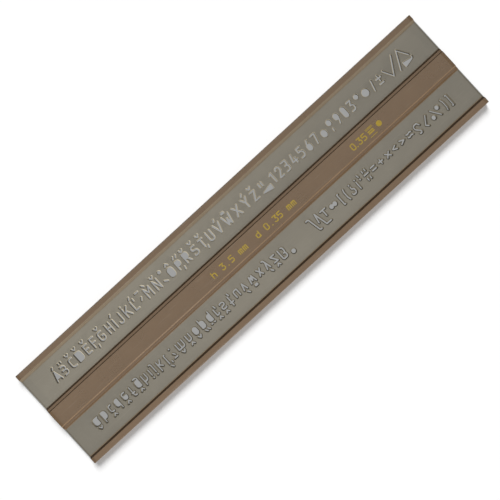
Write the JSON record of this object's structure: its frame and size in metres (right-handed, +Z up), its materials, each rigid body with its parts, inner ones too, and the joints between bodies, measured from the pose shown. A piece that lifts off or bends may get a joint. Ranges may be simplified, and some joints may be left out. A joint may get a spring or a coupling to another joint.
{
  "type": "lettering stencil",
  "caption": "Flat see-through lettering stencil with slotted capital and small letters in two plates, held by a raised centre bar and two raised edge rails.",
  "frame": {"origin": "centre of the footprint, on the surface that the stencil lies on", "axes": "+X along the stencil, the way the capitals read; +Y across it, towards the capitals' edge; +Z up, out of the side on which the capitals read"},
  "size_m": [0.16, 0.0354, 0.0026],
  "materials": {
    "plate_plastic": "smoky see-through plastic, smooth",
    "rail_plastic": "smoky brown see-through plastic, smooth",
    "print_ink": "yellow ink, screen printed"
  },
  "bodies": {
    "root": {"centre_bar": "rail_plastic", "capital_plate": "plate_plastic", "lowercase_plate": "plate_plastic", "capital_edge_rail": "rail_plastic", "lowercase_edge_rail": "rail_plastic"}
  },
  "joints": []
}
